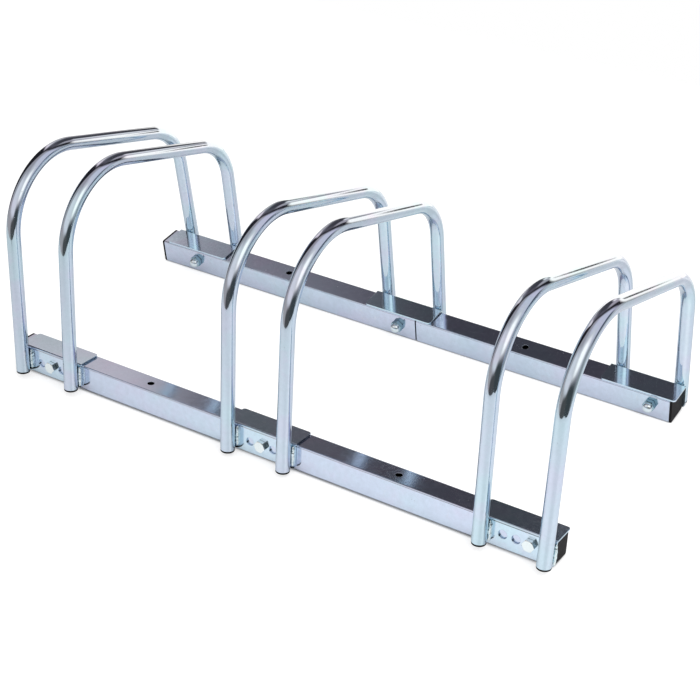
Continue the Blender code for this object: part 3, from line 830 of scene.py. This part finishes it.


# Finishes: patches and drawn are a pattern's scales, dark is an attribute with its colour and roughness:
# painted shade laid where the attribute is 1

zinc = {
    "tube": {"colour": (0.605, 0.708, 0.812), "roughness": 0.065, "spread": 0.07, "mottle": 0.07,
             "violet": 0.40, "sea": 0.45, "lines": 0.012, "streaks": 0.06, "marks": 0.0,
             "patches": 34.0, "drawn": (1400, 1400, 9), "skin": "skin"},
    # the rail's dark bore colour is painted shade in the seam gap and the bores, and partly bare steel
    # inside the joint
    "rail": {"colour": (0.636, 0.720, 0.864), "roughness": 0.11, "spread": 0.09, "mottle": 0.10,
             "violet": 0.40, "sea": 0.30, "lines": 0.015, "streaks": 0.08, "marks": 0.35,
             "patches": 26.0, "drawn": (14, 1100, 1100), "dark": ("bore", (0.10, 0.11, 0.13), 0.35)},
    "plate": {"colour": (0.636, 0.792, 0.905), "roughness": 0.11, "spread": 0.09, "mottle": 0.10,
              "violet": 0.30, "sea": 0.35, "lines": 0.015, "streaks": 0.10, "marks": 0.30,
              "patches": 34.0, "drawn": (14, 1100, 1100)},
    "bolt": {"colour": (0.850, 0.925, 0.930), "roughness": 0.17, "spread": 0.10, "mottle": 0.08,
             "violet": 0.05, "sea": 0.15, "lines": 0.010, "streaks": 0.05, "marks": 0.0,
             "patches": 120.0, "drawn": (900, 900, 900)},
    # the nut's dark colour on the hexagon is painted shade and dark reflections, the dome keeps the bright
    # colour
    "nut": {"colour": (0.760, 0.860, 0.905), "roughness": 0.05, "spread": 0.04, "mottle": 0.08,
            "violet": 0.05, "sea": 0.40, "lines": 0.010, "streaks": 0.03, "marks": 0.0,
            "patches": 120.0, "drawn": (900, 900, 900), "dark": ("flank", (0.28, 0.44, 0.50), 0.02)},
    "weld": {"colour": (0.840, 0.930, 0.940), "roughness": 0.18, "spread": 0.10, "mottle": 0.12,
             "violet": 0.05, "sea": 0.30, "patches": 160.0},
    # a band is the level of a noise at which its patches start, and at which they are full
    "violet": {"colour": (0.640, 0.615, 0.780), "band": (0.44, 0.66)},
    "sea": {"colour": (0.560, 0.790, 0.840), "band": (0.46, 0.66)},
    "slowScale": 0.37,    # against a finish's own scale of patches, as is the next
    "fineScale": 7.0,
    "fineShare": 0.6,
    "glossMiddle": 0.45,
    "leastRoughness": 0.03,
    "streakBand": (0.60, 0.72),
    "water": {"scale": 55.0, "width": 0.010, "colour": (0.78, 0.80, 0.82), "rougher": 0.35,
              "contour": 0.52, "whereScale": 0.6, "band": (0.56, 0.64)},
    "specks": {"scale": 280.0, "share": 0.07, "strength": 0.5, "colour": (0.42, 0.46, 0.50),
               "rougher": 0.6, "least": 0.06, "spread": 0.20},
    # painted shade: dark teal patches on the weld beads for the shade and dark reflections in their hollows
    "burnt": {"scale": 420.0, "strength": 0.42, "colour": (0.055, 0.095, 0.115), "seed": 5.0,
              "band": (0.55, 0.66)},
    "bump": {"distance": 0.0004, "strength": 0.8},
    "seed": 3.0,
}


def makeToneGroup():
    # plating is never one colour: soft patches of violet and sea green, cloudy brightness, uneven gloss
    tree, start, end = newTree(
        "ShaderNodeTree", "zincTone",
        {"Vector": "Vector", "Scale": 30.0, "Colour": (0.6, 0.68, 0.78, 1), "Violet": 0.2, "Sea": 0.1,
         "Mottle": 0.05, "Gloss Base": 0.1, "Gloss Spread": 0.05},
        {"Colour": "Color", "Roughness": "Float", "Cloud": "Float"})
    broad = addNoise(tree, start["Vector"], scale=start["Scale"], detail=3.0, roughness=0.55,
                     seed=zinc["seed"])
    slow = addNoise(tree, start["Vector"], scale=calc(tree, "MULTIPLY", start["Scale"], zinc["slowScale"]),
                    detail=2.0, seed=zinc["seed"] + 7)
    fine = addNoise(tree, start["Vector"], scale=calc(tree, "MULTIPLY", start["Scale"], zinc["fineScale"]),
                    detail=4.0, roughness=0.6, seed=zinc["seed"] + 13)
    violet = calc(tree, "MULTIPLY", ramp(tree, broad, *zinc["violet"]["band"]), start["Violet"])
    sea = calc(tree, "MULTIPLY", ramp(tree, slow, *zinc["sea"]["band"]), start["Sea"])
    greened = mixColours(tree, sea, start["Colour"], zinc["sea"]["colour"])
    tinted = mixColours(tree, violet, greened, zinc["violet"]["colour"])
    cloud = calc(tree, "ADD", calc(tree, "MULTIPLY", fine, zinc["fineShare"]),
                 calc(tree, "MULTIPLY", broad, 1 - zinc["fineShare"]))
    level = calc(tree, "MULTIPLY_ADD", calc(tree, "SUBTRACT", cloud, 0.5),
                 calc(tree, "MULTIPLY", start["Mottle"], 4.0), 1.0)
    grey = addNode(tree, "ShaderNodeCombineXYZ", {0: level, 1: level, 2: level})
    uneven = calc(tree, "MULTIPLY", calc(tree, "SUBTRACT", fine, zinc["glossMiddle"]),
                  calc(tree, "MULTIPLY", start["Gloss Spread"], 2.0))
    gloss = calc(tree, "MAXIMUM", calc(tree, "ADD", start["Gloss Base"], uneven), zinc["leastRoughness"])
    feed(tree, end, {"Colour": mixColours(tree, 1.0, tinted, grey, "MULTIPLY"), "Roughness": gloss,
                     "Cloud": cloud})
    return tree


def makeLinesGroup():
    # fine lines left by drawing the tube and rolling the sheet, long in one direction
    tree, start, end = newTree(
        "ShaderNodeTree", "drawnLines",
        {"Vector": "Vector", "Stretch": (1, 1, 1), "Depth": 0.01}, {"Height": "Float", "Mask": "Float"})
    lines = addNoise(tree, vectorCalc(tree, "MULTIPLY", start["Vector"], start["Stretch"]), scale=1.0,
                     detail=5.0, roughness=0.7, seed=zinc["seed"] + 21)
    feed(tree, end, {"Height": calc(tree, "MULTIPLY", lines, start["Depth"]),
                     "Mask": ramp(tree, lines, *zinc["streakBand"])})
    return tree


def makeMarksGroup():
    # dried water lines and thin scratches: contour lines of a noise, kept only in some places
    tree, start, end = newTree(
        "ShaderNodeTree", "waterMarks",
        {"Vector": "Vector", "Scale": 40.0, "Line Width": 0.012, "Amount": 0.5}, {"Mask": "Float"})
    shape = addNoise(tree, start["Vector"], scale=start["Scale"], detail=2.0, seed=zinc["seed"] + 31,
                     distortion=0.6)
    where = addNoise(tree, start["Vector"], detail=1.0, seed=zinc["seed"] + 37,
                     scale=calc(tree, "MULTIPLY", start["Scale"], zinc["water"]["whereScale"]))
    away = calc(tree, "ABSOLUTE", calc(tree, "SUBTRACT", shape, zinc["water"]["contour"]))
    kept = calc(tree, "MULTIPLY", ramp(tree, away, start["Line Width"], 0.0),
                ramp(tree, where, *zinc["water"]["band"]))
    feed(tree, end, {"Mask": calc(tree, "MULTIPLY", kept, start["Amount"])})
    return tree


def makeSpecksGroup():
    # dust and small pits, a few of the cells of a Voronoi pattern
    tree, start, end = newTree("ShaderNodeTree", "dustSpecks",
                               {"Vector": "Vector", "Scale": 250.0, "Share": 0.1}, {"Mask": "Float"})
    cells = addNode(tree, "ShaderNodeTexVoronoi", {"Vector": start["Vector"], "Scale": start["Scale"]})
    parts = addNode(tree, "ShaderNodeSeparateColor", {0: cells.outputs["Color"]}).outputs
    chosen = calc(tree, "LESS_THAN", parts[0], start["Share"])
    size = calc(tree, "MULTIPLY_ADD", parts[1], zinc["specks"]["spread"], zinc["specks"]["least"])
    spot = ramp(tree, cells.outputs["Distance"], size, calc(tree, "MULTIPLY", size, 0.5), kind="LINEAR")
    feed(tree, end, {"Mask": calc(tree, "MULTIPLY", spot, chosen)})
    return tree


toneGroup = makeToneGroup()
linesGroup = makeLinesGroup()
marksGroup = makeMarksGroup()
specksGroup = makeSpecksGroup()


def useGroup(tree, group, inputs):
    return addNode(tree, "ShaderNodeGroup", inputs, node_tree=group)


def startMaterial(name):
    material = bpy.data.materials.new(name)
    material.use_nodes = True
    tree = material.node_tree
    place = addNode(tree, "ShaderNodeTexCoord").outputs["Object"]
    return material, tree, tree.nodes["Principled BSDF"], place


def startZinc(name, look):
    material, tree, shader, place = startMaterial(name)
    shader.inputs["Metallic"].default_value = 1.0
    tone = useGroup(tree, toneGroup,
                    {"Vector": place, "Scale": look["patches"], "Colour": (*look["colour"], 1),
                     "Violet": look["violet"], "Sea": look["sea"], "Mottle": look["mottle"],
                     "Gloss Base": look["roughness"], "Gloss Spread": look["spread"]})
    return material, tree, shader, place, tone.outputs


def dress(tree, shader, colour, rough, height, bump):
    relief = addNode(tree, "ShaderNodeBump",
                     {"Height": height, "Distance": bump["distance"], "Strength": bump["strength"]})
    feed(tree, shader, {"Base Color": colour, "Roughness": rough, "Normal": relief})


def makeZinc(name, look):
    material, tree, shader, place, tone = startZinc(name, look)
    colour, rough = tone["Colour"], tone["Roughness"]
    along = place
    if "skin" in look:
        along = addNode(tree, "ShaderNodeAttribute", attribute_name=look["skin"]).outputs["Vector"]
    lines = useGroup(tree, linesGroup, {"Vector": along, "Stretch": look["drawn"], "Depth": look["lines"]})
    if look["marks"]:
        water = zinc["water"]
        mask = useGroup(tree, marksGroup, {"Vector": place, "Scale": water["scale"],
                                           "Line Width": water["width"], "Amount": look["marks"]})
        colour = mixColours(tree, mask, colour, water["colour"])
        rough = calc(tree, "MULTIPLY_ADD", mask, water["rougher"], rough)
    speck = zinc["specks"]
    dull = calc(tree, "MULTIPLY", useGroup(tree, specksGroup, {"Vector": place, "Scale": speck["scale"],
                                                               "Share": speck["share"]}),
                speck["strength"])
    colour = mixColours(tree, dull, colour, speck["colour"])
    rough = calc(tree, "MULTIPLY_ADD", dull, speck["rougher"], rough)
    rough = calc(tree, "MULTIPLY_ADD", lines.outputs["Mask"], look["streaks"], rough)
    # painted shade: the look's dark colour and roughness go where its attribute is 1
    if "dark" in look:
        attribute, darkColour, rougher = look["dark"]
        where = addNode(tree, "ShaderNodeAttribute", attribute_name=attribute).outputs["Fac"]
        colour = mixColours(tree, where, colour, darkColour)
        rough = calc(tree, "MULTIPLY_ADD", where, rougher, rough)
    height = calc(tree, "MULTIPLY_ADD", tone["Cloud"], look["mottle"] * 0.25, lines.outputs["Height"])
    dress(tree, shader, colour, rough, height, zinc["bump"])
    return material


def makeWeldZinc():
    # plated weld metal: bright lumps, with patches of painted teal shade between them
    material, tree, shader, place, tone = startZinc("weld_zinc", zinc["weld"])
    burnt = zinc["burnt"]
    patches = addNoise(tree, place, scale=burnt["scale"], detail=3.0, roughness=0.6, seed=burnt["seed"])
    # the painted shade patches darken the weld's colour
    share = calc(tree, "MULTIPLY", ramp(tree, patches, *burnt["band"]), burnt["strength"])
    dress(tree, shader, mixColours(tree, share, tone["Colour"], burnt["colour"]), tone["Roughness"],
          patches, zinc["bump"])
    return material


moulded = {
    "colour": (0.010, 0.0095, 0.0105),
    "dust": (0.10, 0.10, 0.105),
    "specular": 0.10,
    "roughness": 0.54,
    "grainScale": 900.0,
    "cloudScale": 45.0,
    "cloudBand": (0.5, 0.75),
    "cloudDust": 0.08,
    "cloudRough": 0.20,
    "specks": {"scale": 500.0, "share": 0.15, "strength": 0.30},
    "bump": {"distance": 0.00015, "strength": 0.6},
}


def makePlasticFinish():
    material, tree, shader, place = startMaterial("black_plastic")
    speck = moulded["specks"]
    grain = addNoise(tree, place, scale=moulded["grainScale"], detail=3.0)
    clouds = addNoise(tree, place, scale=moulded["cloudScale"], detail=4.0)
    specks = useGroup(tree, specksGroup, {"Vector": place, "Scale": speck["scale"], "Share": speck["share"]})
    cloudy = calc(tree, "MULTIPLY", ramp(tree, clouds, *moulded["cloudBand"]), moulded["cloudDust"])
    dusty = calc(tree, "ADD", cloudy, calc(tree, "MULTIPLY", specks, speck["strength"]))
    rough = calc(tree, "MULTIPLY_ADD", clouds, moulded["cloudRough"],
                 moulded["roughness"] - moulded["cloudRough"] / 2)
    shader.inputs["Specular IOR Level"].default_value = moulded["specular"]
    dress(tree, shader, mixColours(tree, dusty, moulded["colour"], moulded["dust"]), rough, grain,
          moulded["bump"])
    return material


finishes = {name: makeZinc(f"{name}_zinc", zinc[name]) for name in ("tube", "rail", "plate", "bolt", "nut")}
weldZinc = makeWeldZinc()
blackPlastic = makePlasticFinish()
print("finishes made")

tubeTree = makeTubeTree()
weldTree = makeWeldTree()
threadTree = makeThreadTree()

for number in range(6):
    place, ends = makeHoop(number, tubeTree, finishes["tube"])
    for side in sides:
        makePlug(side, number, place, ends[side], blackPlastic)
print("hoops and plugs made")
for side in sides:
    makeRails(side, finishes["rail"])
    for place in ("left", "right"):
        makeCap(side, place, blackPlastic)
    for number in range(3):
        makeBracket(side, number, finishes["plate"])
        makeWelds(side, number, weldTree, weldZinc)
        makeBolt(side, number, threadTree, finishes["bolt"], finishes["nut"])
print("rails, brackets, welds and bolts made")


# Studio

studio = {
    "cameraAt": (0.86619, -1.28472, 1.09911),
    "azimuth": -0.5861,
    "elevation": 0.59413,
    "roll": -0.03383,
    "focal": 1647.08 / 700,       # in picture widths
    "sensor": 36.0,
    "domeCentre": (0, 0, 0.1),
    "domeRadius": 1.9,
    "domeLow": (0.55, 0.52, 0.54),
    "domeTop": (0.52, 0.46, 0.48),
    "domeBand": (10.0, 75.0),    # degrees up, from the low colour to the top one
    "domeLevel": 0.833,
    "wobble": {"degrees": 3.0, "scale": 3.0, "detail": 3.0},    # so that no zone has a ruled edge
    "table": (-1.2, -0.85, 0.80, 0.95),
    "tableColour": (0.66, 0.675, 0.69),
    "tableRoughness": 0.18,
    "tableIor": 2.8,
    "page": {"glow": 0.65, "paper": 0.55, "gapReach": 0.006, "gapDark": 0.28, "gapClear": 0.72},
    "glow": {"near": 0.30, "far": 0.20, "centre": (0.15, -0.38), "reach": (0.10, 0.80),
             "dimWithin": 0.03},
    "ambient": 0.85,
    "key": {"power": 9.0, "size": (1.2, 0.8), "azimuth": 115, "elevation": 42, "distance": 1.6},
}

# What the metal sees all round: each zone is laid over the ones before it, azimuth and elevation in
# degrees as seen from the rack (0 behind it, 90 on its right), then half sizes, tilt, squareness,
# softness and colour.
zones = [
    ("ceiling right", 105, 72, 85, 26, 0, 3, 0.5, (0.68, 0.63, 0.66)),
    ("right wall", 68, 35, 34, 46, 0, 3, 0.35, (0.90, 0.84, 0.95)),
    ("left wall", -170, 39, 56, 26, 0, 3, 0.45, (1.09, 1.03, 1.04)),
    ("main light glow", 118, 47, 46, 26, 0, 2.2, 0.6, (0.98, 0.92, 0.90)),
    ("left corner", -114, 34, 13, 56, 0, 3, 0.4, (0.54, 0.50, 0.51)),
    ("front low", -140, 0, 62, 15, 0, 4, 0.4, (0.58, 0.51, 0.50)),
    ("dark far wall", -30, 22, 72, 48, 0, 3.2, 0.08, (0.024, 0.022, 0.027)),
    ("far wall upper", -12, 52, 34, 10, 0, 2.5, 0.5, (0.160, 0.140, 0.160)),
    ("far wall middle", -17, 34, 32, 18, 0, 2.8, 0.30, (0.080, 0.074, 0.086)),
    ("far wall fade", -47, 31, 11, 22, 0, 2.5, 0.8, (0.36, 0.32, 0.35)),
    ("fade low", -35, 25, 8, 5, 0, 2.5, 0.8, (0.16, 0.145, 0.155)),
    ("far wall left", -56, 26, 6, 26, 0, 3, 0.28, (1.22, 1.04, 1.04)),
    ("far wall left low", -52, 14, 10, 13, 0, 3, 0.4, (0.90, 0.80, 0.81)),
    ("backdrop upper", 5, 22, 13, 6, 0, 2.5, 0.45, (1.45, 1.33, 1.28)),
    ("far wall right", 15, 28, 10, 17, -18, 2.5, 0.45, (0.60, 0.53, 0.55)),
    ("backdrop", -6, -3, 38.5, 20.5, 8, 2.8, 0.10, (1.85, 1.66, 1.50)),
    ("shade line", 2, 17.5, 8, 2.0, 0, 2.5, 0.6, (0.45, 0.42, 0.43)),
    ("backdrop left", -50, 0, 10, 18, 0, 3, 0.4, (0.64, 0.57, 0.55)),
    ("low left", -80, -12, 14, 10, 0, 3, 0.4, (0.42, 0.39, 0.38)),
    ("backdrop right", 54, -8, 19, 13, 0, 3, 0.4, (0.74, 0.75, 0.73)),
    ("thin dark line", 19, 8, 6.5, 1.7, -38, 2.5, 0.5, (0.03, 0.03, 0.03)),
    ("dark blue patch", 62, 8, 15, 8.5, 0, 2.5, 0.35, (0.13, 0.15, 0.19)),
    ("right low", 86, 0, 12, 20, 0, 3, 0.5, (0.42, 0.44, 0.43)),
    ("main light", 116, 42, 27, 17, 9, 2.3, 0.50, (1.82, 1.68, 1.55)),
    ("dark under the light", 130, -3, 37, 23, 24, 2.6, 0.30, (0.076, 0.086, 0.088)),
    ("dark front", 172, -1, 26, 16, -10, 3, 0.35, (0.115, 0.110, 0.108)),
]


def makeCamera():
    roll = studio["roll"]
    ahead = direction(studio["azimuth"], -studio["elevation"])
    right = ahead.cross(Vector((0, 0, 1))).normalized()
    up = right.cross(ahead)
    right, up = (math.cos(roll) * right + math.sin(roll) * up,
                 math.cos(roll) * up - math.sin(roll) * right)
    camera = bpy.data.cameras.new("camera")
    camera.sensor_width = studio["sensor"]
    camera.sensor_fit = "HORIZONTAL"
    camera.lens = studio["sensor"] * studio["focal"]
    camera.clip_start = 0.05
    camera.clip_end = 50
    holder = newObject("camera", camera)
    holder.matrix_world = Matrix([(right[i], up[i], -ahead[i], studio["cameraAt"][i]) for i in range(3)]
                                 + [(0, 0, 0, 1)])
    bpy.context.scene.camera = holder


def makeZoneGroup():
    # 1 inside a tilted, rounded block on the dome and 0 outside it, all in degrees
    tree, start, end = newTree(
        "ShaderNodeTree", "softZone",
        {"Across": 0.0, "Up": 0.0, "Centre Across": 0.0, "Centre Up": 0.0, "Half Width": 10.0,
         "Half Height": 10.0, "Tilt": 0.0, "Squareness": 2.0, "Softness": 0.3},
        {"Mask": "Float"})

    def sized(distance, half):
        share = calc(tree, "ABSOLUTE", calc(tree, "DIVIDE", distance, start[half]))
        return calc(tree, "POWER", share, start["Squareness"])

    across = calc(tree, "SUBTRACT", start["Across"], start["Centre Across"])
    across = calc(tree, "WRAP", across, 180.0, -180.0)
    up = calc(tree, "SUBTRACT", start["Up"], start["Centre Up"])
    turn = calc(tree, "RADIANS", start["Tilt"])
    cosine, sine = calc(tree, "COSINE", turn), calc(tree, "SINE", turn)
    wide = calc(tree, "ADD", calc(tree, "MULTIPLY", across, cosine), calc(tree, "MULTIPLY", up, sine))
    high = calc(tree, "SUBTRACT", calc(tree, "MULTIPLY", up, cosine), calc(tree, "MULTIPLY", across, sine))
    total = calc(tree, "ADD", sized(wide, "Half Width"), sized(high, "Half Height"))
    reach = calc(tree, "POWER", total, calc(tree, "DIVIDE", 1.0, start["Squareness"]))
    feed(tree, end, {"Mask": ramp(tree, reach, calc(tree, "ADD", 1.0, start["Softness"]),
                                  calc(tree, "SUBTRACT", 1.0, start["Softness"]))})
    return tree


def makeDome():
    # only reflections see it: the room as the metal of the rack mirrors it
    zoneGroup = makeZoneGroup()
    work = bmesh.new()
    bmesh.ops.create_uvsphere(work, u_segments=64, v_segments=32, radius=studio["domeRadius"],
                              matrix=Matrix.Translation(studio["domeCentre"]))
    dome = fromBmesh("studio_dome", work)
    material, tree, shader, place = startMaterial("studio_dome")
    tree.nodes.remove(shader)
    aim = vectorCalc(tree, "NORMALIZE", vectorCalc(tree, "SUBTRACT", place, studio["domeCentre"]))
    part = addNode(tree, "ShaderNodeSeparateXYZ", {0: aim}).outputs
    across = calc(tree, "DEGREES", calc(tree, "ARCTAN2", part[0], part[1]))
    up = calc(tree, "DEGREES", calc(tree, "ARCSINE", part[2]))
    wobble = studio["wobble"]
    noise = addNoise(tree, aim, scale=wobble["scale"], detail=wobble["detail"])
    shift = addNode(tree, "ShaderNodeSeparateColor", {0: noise.outputs["Color"]}).outputs
    shift = [calc(tree, "MULTIPLY_ADD", shift[i], wobble["degrees"], -wobble["degrees"] / 2) for i in (0, 1)]
    across = calc(tree, "ADD", across, shift[0])
    up = calc(tree, "ADD", up, shift[1])
    colour = mixColours(tree, ramp(tree, up, *studio["domeBand"]), studio["domeLow"], studio["domeTop"])
    for name, centreAcross, centreUp, wide, high, tilt, square, soft, shade in zones:
        mask = useGroup(tree, zoneGroup,
                        {"Across": across, "Up": up, "Centre Across": centreAcross, "Centre Up": centreUp,
                         "Half Width": wide, "Half Height": high, "Tilt": tilt,
                         "Squareness": square, "Softness": soft})
        mask.label = name
        colour = mixColours(tree, mask, colour, shade)
    light = addNode(tree, "ShaderNodeEmission", {"Color": colour, "Strength": studio["domeLevel"]})
    feed(tree, tree.nodes["Material Output"], {"Surface": light})
    material.cycles.emission_sampling = "NONE"
    dome.data.materials.append(material)
    dome.visible_camera = dome.visible_diffuse = dome.visible_shadow = False
    dome.visible_transmission = dome.visible_volume_scatter = False


def makeTable():
    # a white page to the camera, with the rack's shadow, and a pale glossy table to reflections
    x0, y0, x1, y1 = studio["table"]
    mesh = bpy.data.meshes.new("studio_table")
    mesh.from_pydata([(x0, y0, 0), (x1, y0, 0), (x1, y1, 0), (x0, y1, 0)], [], [(0, 1, 2, 3)])
    table = newObject("studio_table", mesh)
    material, tree, shader, place = startMaterial("white_table")
    rays = addNode(tree, "ShaderNodeLightPath").outputs
    mirrored = calc(tree, "MAXIMUM", rays["Is Glossy Ray"], rays["Is Transmission Ray"])
    glow, page = studio["glow"], studio["page"]
    off = vectorCalc(tree, "SUBTRACT", place, (*glow["centre"], 0))
    near = ramp(tree, vectorCalc(tree, "LENGTH", off).outputs["Value"], *glow["reach"], glow["near"],
                glow["far"])
    clear = addNode(tree, "ShaderNodeAmbientOcclusion", {"Distance": glow["dimWithin"]}, samples=8)
    near = calc(tree, "MULTIPLY", near, clear.outputs["AO"])    # dim close to the rails, as a real table is
    feed(tree, shader, {"Base Color": (*studio["tableColour"], 1), "Roughness": studio["tableRoughness"],
                        "IOR": studio["tableIor"], "Emission Color": (1, 1, 1, 1),
                        "Emission Strength": calc(tree, "MULTIPLY", mirrored, near)})
    gap = addNode(tree, "ShaderNodeAmbientOcclusion", {"Distance": page["gapReach"]}, samples=16)
    glowing = ramp(tree, gap.outputs["AO"], page["gapDark"], page["gapClear"], 0.0, page["glow"])
    lit = addNode(tree, "ShaderNodeEmission", {"Color": (1, 1, 1, 1), "Strength": glowing})
    paper = addNode(tree, "ShaderNodeBsdfDiffuse", {"Color": (*[page["paper"]] * 3, 1)})
    both = addNode(tree, "ShaderNodeMixShader",
                   {0: rays["Is Camera Ray"], 1: shader,
                    2: addNode(tree, "ShaderNodeAddShader", {0: lit, 1: paper})})
    feed(tree, tree.nodes["Material Output"], {"Surface": both})
    material.cycles.emission_sampling = "NONE"
    mesh.materials.append(material)


def makeWorld():    # plain light on the rack, and white where the camera or a reflection sees it
    world = bpy.data.worlds.new("studio")
    bpy.context.scene.world = world
    world.use_nodes = True
    tree = world.node_tree
    rays = addNode(tree, "ShaderNodeLightPath").outputs
    seen = calc(tree, "MAXIMUM", rays["Is Camera Ray"],
                calc(tree, "MAXIMUM", rays["Is Glossy Ray"], rays["Is Transmission Ray"]))
    level = ramp(tree, seen, 0.0, 1.0, studio["ambient"], 1.0, "LINEAR")
    feed(tree, tree.nodes["Background"], {"Strength": level, "Color": (1, 1, 1, 1)})


def makeKeyLight():
    key = studio["key"]
    light = bpy.data.lights.new("key", "AREA")
    light.shape = "RECTANGLE"
    light.size, light.size_y = key["size"]
    light.energy = key["power"]
    holder = newObject("key", light)
    aim = direction(math.radians(key["azimuth"]), math.radians(key["elevation"]))
    holder.matrix_world = (Matrix.Translation(aim * key["distance"])
                           @ aim.to_track_quat("Z", "Y").to_matrix().to_4x4())
    holder.visible_glossy = False


makeCamera()
makeDome()
makeTable()
makeWorld()
makeKeyLight()
bpy.context.scene.view_settings.view_transform = "Standard"
print("studio made")
